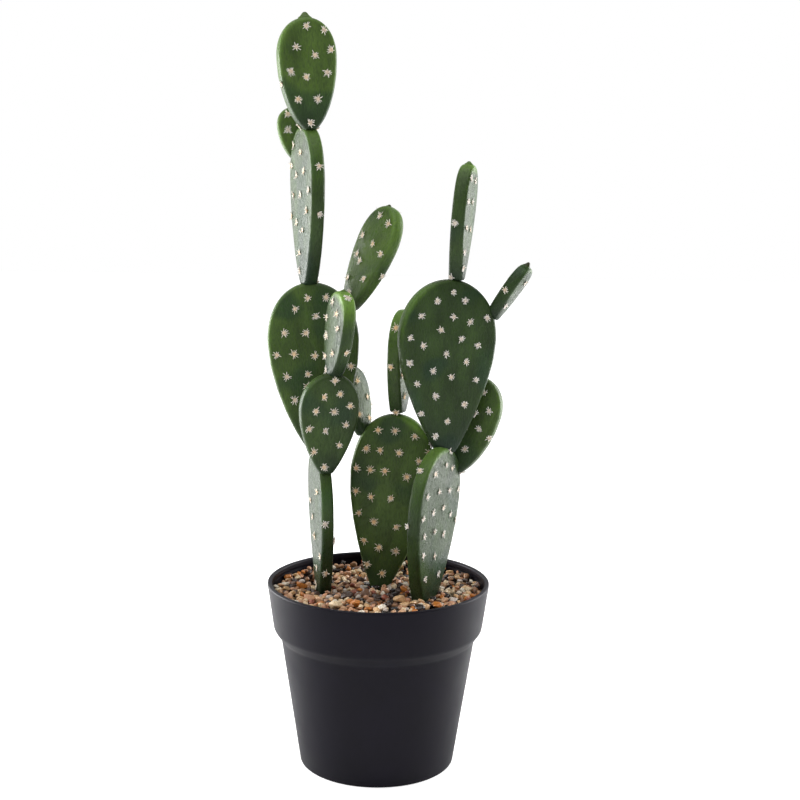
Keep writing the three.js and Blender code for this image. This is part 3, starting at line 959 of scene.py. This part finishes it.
def staggered_starts(pad):
    """Starts of rays for a staggered pattern on both faces and along the rim, a little uneven as
    on the faces that show. Each has its place, and its way out from the pad, in the own frame."""
    starts = []
    row = 0
    height = FIRST_ROW * pad.length
    while height < pad.length:
        for i in range(-ROW_REACH, ROW_REACH + 1):
            across = (i + 0.5 * (row % 2)) * CLUSTER_SPACING
            for side in (-1, 1):
                shift = [pad.chance.gauss(0, UNEVENNESS) for _ in range(2)]
                start = (across + shift[0], side * FAR, height + shift[1])
                starts.append((start, (0, side, 0)))
        row += 1
        height += ROW_SPACING
    angle = pad.chance.uniform(*RIM_START)
    while angle < RIM_ARC[1] - RIM_ARC[0]:
        turn = math.radians(angle + RIM_ARC[0])
        way = (math.sin(turn), 0, math.cos(turn))
        middle = np.array((0, pad.chance.gauss(0, RIM_UNEVENNESS), WIDEST * pad.length))
        starts.append((middle + FAR * np.array(way), way))
        angle += math.degrees(RIM_SPACING / (RIM_RADIUS * pad.length))
    return starts


def hidden_clusters(pads, pad, seen):
    """Clusters where the photograph doesn't look or can't show them one by one."""
    neighbours = [other for other in pads if other is not pad]
    found = []
    for start, way in staggered_starts(pad):
        direction = Vector(-np.array(way) @ pad.axes)
        place, normal, _, _ = pad.surface.ray_cast(Vector(pad.world(start)), direction)
        if place is None or normal.dot(-direction) < FACING:
            continue
        edge_on = seen_edge_on(pad, place, normal)
        apart = EDGE_ON_APART if edge_on else CLUSTER_APART
        crowded = any((place - other).length < apart for other, _ in seen + found)
        buried = any(n.solid.find_nearest(place)[3] < OTHER_PAD_APART for n in neighbours)
        if crowded or buried:
            continue
        if edge_on or not in_photograph(pads, place, normal):
            found.append((place, normal))
    return found


def add_cushion(shape, place, turn, size, tint):
    """The low felt cushion that the spines stand in."""
    profile = [
        (across * CUSHION_RADIUS * size, up * CUSHION_HEIGHT) for across, up in CUSHION_PROFILE
    ]
    points, faces = turned(profile, CUSHION_SIDES)
    placed = points @ np.array(turn).T + np.array(place)
    shape.add(placed, faces, spine_reach=CUSHION_REACH, spine_tint=tint)


def add_spine(shape, place, direction, droop, length, tint):
    """One tapered spine with five sides and a closed foot, bent a little by droop."""
    side = direction.orthogonal().normalized()
    other = direction.cross(side)
    points, reaches = [place], [0]
    for share, width in SPINE_RINGS:
        centre = place + direction * length * share + droop * share ** 2
        for i in range(SPINE_SIDES):
            angle = 2 * math.pi * i / SPINE_SIDES
            spoke = side * math.cos(angle) + other * math.sin(angle)
            points.append(centre + spoke * SPINE_RADIUS * width)
            reaches.append(share)
    points.append(place + direction * length + droop)
    reaches.append(1)
    last = 1 + (len(SPINE_RINGS) - 1) * SPINE_SIDES
    faces = [[1 + i for i in face] for face in ring_faces(len(SPINE_RINGS), SPINE_SIDES)]
    for i in range(SPINE_SIDES):
        after = (i + 1) % SPINE_SIDES
        faces.append([0, 1 + after, 1 + i])
        faces.append([len(points) - 1, last + i, last + after])
    shape.add(points, faces, spine_reach=reaches, spine_tint=tint)


def add_cluster(shape, place, normal, size, tint, chance):
    """A star of short spines round a cushion, swept a little to one side."""
    turn = Vector((0, 0, 1)).rotation_difference(normal).to_matrix()
    add_cushion(shape, place, turn, size, tint)
    count = chance.randint(*SPINES)
    sweep = Vector((chance.gauss(0, SPINE_SWEEP), chance.gauss(0, SPINE_SWEEP), 0))
    first = chance.uniform(0, 2 * math.pi)
    for i in range(count):
        angle = first + 2 * math.pi * (i + chance.uniform(-SPINE_JITTER, SPINE_JITTER)) / count
        lean = math.radians(chance.uniform(*SPINE_LEAN))
        flat = Vector((math.cos(angle), math.sin(angle), 0))
        direction = (flat * math.sin(lean) + Vector((0, 0, math.cos(lean))) + sweep).normalized()
        foot = place + turn @ (flat * SPINE_FOOT * CUSHION_RADIUS)
        droop = turn @ Vector((0, 0, -SPINE_DROOP))
        length = size * chance.uniform(*SPINE_LENGTH)
        add_spine(shape, foot, turn @ direction, droop, length, tint)


def make_pads():
    """Every pad's skin and spines. The clusters are laid on the skin as it is without humps."""
    names = [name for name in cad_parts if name.endswith("_pad")]
    pads = [Pad(name, number) for number, name in enumerate(sorted(names))]
    for pad in pads:
        pad.surface = tree_of(pad_skin(pad, []))
    for pad in pads:
        seen = seen_clusters(pad)
        clusters = seen + hidden_clusters(pads, pad, seen)
        skin = new_piece(pad.name + "_skin", pad_skin(pad, clusters), SKIN)
        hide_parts(pad.name)
        spines = Shape()
        stem = pad.name.split("_")[0]
        for place, normal in clusters:
            tint = min(1, max(0, pad.chance.gauss(SPINE_TINTS[stem], TINT_SPREAD)))
            foot = place + normal * HUMP
            add_cluster(spines, foot, normal, SPINE_SIZES[stem], tint, pad.chance)
        new_piece(pad.name + "_spines", spines.mesh(pad.name + "_spines"), SPINE)
    return pads


# ---- Gravel and stones ----

def stone_shape(chance, detail):
    """A water-worn chip: a ball cut by planes whose edges are worn round, about 1 in radius."""
    ball = bmesh.new()
    bmesh.ops.create_icosphere(ball, subdivisions=detail, radius=1)
    points = np.array([v.co for v in ball.verts])
    faces = [[v.index for v in face.verts] for face in ball.faces]
    ball.free()
    normals = np.array([
        Vector([chance.gauss(0, 1) for _ in range(3)]).normalized() for _ in range(FACETS)
    ])
    depths = np.array([chance.uniform(*FACET_DEPTHS) for _ in range(FACETS)])
    nearness = np.clip(points @ normals.T, 0, 1) / depths
    nearest = np.sum(nearness ** FACET_SHARPNESS, axis=1) ** (1 / FACET_SHARPNESS)
    reach = np.clip(1 / (nearest + FACET_WEAR), *CHIP_REACH)
    return points * reach[:, None], faces


class GravelBed:
    """The height of the gravel's surface: the CAD bed's, banked up against the pot's wall."""

    def __init__(self):
        low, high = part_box("gravel_bed")
        self.bed = tree_of(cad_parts["gravel_bed"].data)
        self.level = low.z
        self.usual = high.z - BED_HEAP

    def height(self, x, y):
        """The surface over a place, or nothing over a pad's foot and outside the bed."""
        hit = self.bed.ray_cast(Vector((x, y, FAR)), Vector((0, 0, -1)))[0]
        if hit is None or hit.z < self.level + BED_THICK:
            return None
        return hit.z + self.bank(x, y)

    def bank(self, x, y):
        """How much higher the gravel lies there than in the CAD, rising smoothly to the wall."""
        share = (math.hypot(x, y) - BANK_FOOT) / (INSIDE_RADIUS - BANK_FOOT)
        share = min(1, max(0, share))
        return BANK_HEIGHT * share * share * (3 - 2 * share)


def larger_stones():
    """Where the larger stones lie, and how far each reaches sideways."""
    boxes = [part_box(name) for name in STONE_KINDS]
    return [((low + high) / 2, (high.x - low.x + high.y - low.y) / 4) for low, high in boxes]


def drop_pebbles(bed, pads):
    """Drops stones one by one, each onto those already there, until the bed is full. Returns each
    stone's middle and size, and the run of random numbers."""
    chance = random.Random(PEBBLE_SEED)
    feet = [pad.surface for pad in pads if pad.name.endswith("_base_pad")]
    larger = larger_stones()
    stones = np.zeros((0, 4))
    for _ in range(PEBBLE_TRIES):
        size = chance.triangular(*PEBBLE_SIZE, PEBBLE_USUAL)
        reach = (INSIDE_RADIUS - WALL_APART * size) * math.sqrt(chance.random())
        angle = chance.uniform(0, 2 * math.pi)
        x, y = reach * math.cos(angle), reach * math.sin(angle)
        top = bed.height(x, y)
        if top is None:
            continue
        gaps = [math.hypot(x - middle.x, y - middle.y) - around for middle, around in larger]
        if min(gaps) < LARGER_STONE_APART * size:
            continue
        z = top - PEBBLE_LAYER + HALF_HEIGHT * size
        if len(stones):
            away = np.hypot(stones[:, 0] - x, stones[:, 1] - y)
            touch = TOUCH * (stones[:, 3] + size)
            near = away < touch
            if near.any():
                lift = SETTLE * np.sqrt(touch[near] ** 2 - away[near] ** 2)
                z = max(z, (stones[near, 2] + lift).max())
        place = Vector((x, y, z))
        if z + HALF_HEIGHT * size > top + PEBBLE_PROUD + chance.uniform(0, PEBBLE_UNEVEN):
            continue
        if any(foot.find_nearest(place)[3] < FOOT_APART * size for foot in feet):
            continue
        stones = np.vstack([stones, (x, y, z, size)])
    return stones, chance


def make_gravel(pads):
    """The gravel as separate stones over a bed of grit, whose dark colour is partly painted shade
    for the gaps.
    """
    bed = GravelBed()
    stones, chance = drop_pebbles(bed, pads)
    chips = {
        detail: [stone_shape(chance, detail) for _ in range(PEBBLE_SHAPES)]
        for detail in (COARSE, FINE)
    }
    shape = Shape()
    for x, y, z, size in stones:
        detail = FINE if z > bed.height(x, y) - FINE_DEPTH else COARSE
        points, faces = chance.choice(chips[detail])
        width, height = chance.uniform(*PEBBLE_WIDTH), chance.uniform(*PEBBLE_HEIGHT)
        lie = Matrix.Rotation(chance.uniform(0, 2 * math.pi), 3, "Z")
        axis = Vector((chance.random(), chance.random(), 0.01))  # about level, and never zero
        tilt = Matrix.Rotation(math.radians(chance.gauss(0, PEBBLE_TILT)), 3, axis)
        stretch = np.array((1, width, height)) * size
        laid = points * stretch @ np.array(tilt @ lie).T + (x, y, z)
        shape.add(laid, faces, stone_kind=chance.random())
    gravel = new_piece("gravel", shape.mesh("gravel"), GRAVEL)
    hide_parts("gravel_bed")
    make_grit_and_gap_shade(bed)


def make_grit_and_gap_shade(bed):
    """The grit that shows between the stones, dark with painted shade for the gaps: a disc with a
    rippled top.
    """
    spokes = [
        (math.cos(2 * math.pi * i / GRIT_SIDES), math.sin(2 * math.pi * i / GRIT_SIDES))
        for i in range(GRIT_SIDES)
    ]
    points = [(0, 0, bed.level)] * GRIT_SIDES
    points += [(INSIDE_RADIUS * x, INSIDE_RADIUS * y, bed.level) for x, y in spokes]
    for ring in range(GRIT_RINGS, -1, -1):
        for across, along in spokes:
            x, y = (INSIDE_RADIUS * ring / GRIT_RINGS * part for part in (across, along))
            top = bed.height(GRIT_INSET * x, GRIT_INSET * y) or bed.usual
            ripple = GRIT_RIPPLE * noise.noise(Vector((x, y, 0)) / GRIT_RIPPLE_LENGTH)
            points.append((x, y, top - GRIT_DROP + ripple))
    points = np.array(points)
    kept, faces = weld(points, ring_faces(GRIT_RINGS + 3, GRIT_SIDES))
    grit = Shape()
    grit.add(points[kept], faces)
    new_piece("grit", grit.mesh("grit"), GAP_SHADE_GRIT)


def make_top_stones():
    """The larger stones, each in its CAD node's place and size."""
    chance = random.Random(STONE_SEED)
    for name, kind in STONE_KINDS.items():
        corners = np.array([v.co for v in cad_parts[name].data.vertices])
        corners = np.unique(corners.round(6), axis=0)
        middle = corners.mean(0)
        # Over an ellipsoid's surface, the variance is a third of each half length squared
        spread, axes = np.linalg.eigh(np.cov((corners - middle).T))
        half = np.sqrt(3 * spread)
        points, faces = stone_shape(chance, STONE_DETAIL)
        shape = Shape()
        shape.add(points * half @ axes.T + middle, faces, stone_kind=kind)
        stone = new_piece(name + "_worn", shape.mesh(name + "_worn"), GRAVEL)
        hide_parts(name)


# ---- The pot ----

def rounded_corners(corners):
    """A profile's corners, given as radius, height and rounding, each bent into a soft curve."""
    profile = []
    for k, (radius, height, rounding) in enumerate(corners):
        corner = Vector((radius, height))
        if not rounding:
            profile.append(corner)
            continue
        before = (Vector(corners[k - 1][:2]) - corner).normalized()
        after = (Vector(corners[k + 1][:2]) - corner).normalized()
        for i in range(ROUND_STEPS + 1):
            share = i / ROUND_STEPS
            start = corner + before * rounding * (1 - share)
            end = corner + after * rounding * share
            profile.append(start.lerp(end, share))
    return profile


def make_pot():
    """The pot as one turned wall with rounded corners, at the CAD node's radii."""
    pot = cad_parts["pot"]
    outside = tree_of(pot.data)
    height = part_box("pot")[1].z

    def radius_at(level):
        return outside.ray_cast(Vector((FAR, 0, level)), Vector((-1, 0, 0)))[0].x

    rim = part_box("pot")[1].x
    low, high = SIDE_LEVELS
    base = radius_at(low) - low * (radius_at(high) - radius_at(low)) / (high - low)
    shoulder = radius_at(SHOULDER_HEIGHT)
    band = radius_at(BAND_BOTTOM)
    lip_low = height - LIP_DEPTH
    corners = [
        (0, 0, 0),
        (base, 0, BASE_ROUND),
        (shoulder, SHOULDER_HEIGHT, SHOULDER_ROUND),
        (band, BAND_BOTTOM, BAND_ROUND),
        (rim, height, RIM_ROUND),
        (rim - LIP_WIDTH, height, RIM_ROUND),
        (rim - LIP_WIDTH, lip_low, LIP_ROUND),
        (rim - POT_WALL - LIP_FILLET, lip_low - LIP_FILLET, LIP_FILLET),
        (band - POT_WALL, BAND_BOTTOM, INSIDE_ROUND),
        (shoulder - POT_WALL, SHOULDER_HEIGHT, INSIDE_ROUND),
        (base - POT_WALL, POT_FLOOR, INSIDE_ROUND),
        (0, POT_FLOOR, 0),
    ]
    shape = Shape()
    shape.add(*turned(rounded_corners(corners), POT_SIDES))
    piece = new_piece("moulded_pot", shape.mesh("moulded_pot"), POT_PLASTIC)
    cut_drain_holes(piece)
    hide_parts("pot")


def cut_drain_holes(piece):
    """Cuts the drainage holes through the pot's floor."""
    for k in range(DRAIN_HOLES):
        angle = 2 * math.pi * k / DRAIN_HOLES
        middle = (DRAIN_CIRCLE * math.cos(angle), DRAIN_CIRCLE * math.sin(angle), 0)
        drill = bmesh.new()
        bmesh.ops.create_cone(
            drill, cap_ends=True, segments=DRAIN_SIDES, radius1=DRAIN_RADIUS, radius2=DRAIN_RADIUS,
            depth=4 * POT_FLOOR, matrix=Matrix.Translation(middle),
        )
        mesh = bpy.data.meshes.new("drill")
        drill.to_mesh(mesh)
        drill.free()
        cutter = bpy.data.objects.new("drill", mesh)
        bpy.context.scene.collection.objects.link(cutter)
        cut = piece.modifiers.new("drain", "BOOLEAN")
        cut.operation = "DIFFERENCE"
        cut.object = cutter
        cut.solver = "EXACT"
        bpy.context.view_layer.update()
        evaluated = piece.evaluated_get(bpy.context.evaluated_depsgraph_get())
        result = bpy.data.meshes.new_from_object(evaluated)
        piece.modifiers.remove(cut)
        piece.data = result
        bpy.data.objects.remove(cutter)


def dress_cad_nodes():
    """Finishes for the CAD nodes that stay: the soil and the roots."""
    soil, root = potting_soil(), corky_root()
    for name, cad_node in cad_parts.items():
        if name == "soil" or name.endswith("_root"):
            for slot in cad_node.material_slots:
                slot.material = soil if name == "soil" else root


# ---- Studio ----

def make_studio():
    """A white floor, soft air, soft panels round the plant and a broad light from above."""
    corners = [(x * FLOOR_HALF, y * FLOOR_HALF, 0) for x, y in ((-1, -1), (1, -1), (1, 1), (-1, 1))]
    floor_shape = Shape()
    floor_shape.add(corners, [(0, 1, 2, 3)])
    floor = bpy.data.objects.new("floor", floor_shape.mesh("floor"))
    floor.data.materials.append(light_table())
    floor.location.z = -FLOOR_DROP
    scene = bpy.context.scene
    scene.collection.objects.link(floor)

    scene.view_settings.view_transform = "Standard"
    world = bpy.data.worlds.new("studio_air")
    scene.world = world
    world.use_nodes = True
    tree = world.node_tree
    tree.nodes.clear()
    seen = node(tree, "LightPath").outputs["Is Camera Ray"]
    soft = node(tree, "Background", {"Color": (1, 1, 1, 1), "Strength": AIR_STRENGTH})
    white = node(tree, "Background", {"Color": (1, 1, 1, 1), "Strength": 1.0})
    both = node(tree, "MixShader", {0: seen, 1: soft.outputs[0], 2: white.outputs[0]})
    node(tree, "OutputWorld", {"Surface": both.outputs[0]})

    for name, (place, width, height, watts) in PANELS.items():
        panel(name, place, width, height, watts)
    sky = new_lamp("sky_panel", "SUN", SKY_STRENGTH)
    sky.data.angle = math.radians(SKY_WIDTH)
    sky.rotation_euler = (math.radians(SKY_TILT[0]), math.radians(SKY_TILT[1]), 0)


def new_lamp(name, kind, energy):
    light = bpy.data.lights.new(name, kind)
    light.energy = energy
    lamp = bpy.data.objects.new(name, light)
    bpy.context.scene.collection.objects.link(lamp)
    return lamp


def panel(name, place, width, height, watts):
    """A soft rectangular light that faces the plant's middle."""
    lamp = new_lamp(name, "AREA", watts)
    lamp.data.shape = "RECTANGLE"
    lamp.data.size, lamp.data.size_y = width, height
    lamp.location = place
    middle = Vector((0, 0, cad_box[1][2] / 2))
    lamp.rotation_euler = (Vector(place) - middle).to_track_quat("Z", "Y").to_euler()
    lamp.visible_camera = False


pads = make_pads()
make_gravel(pads)
make_top_stones()
make_pot()
dress_cad_nodes()
make_studio()
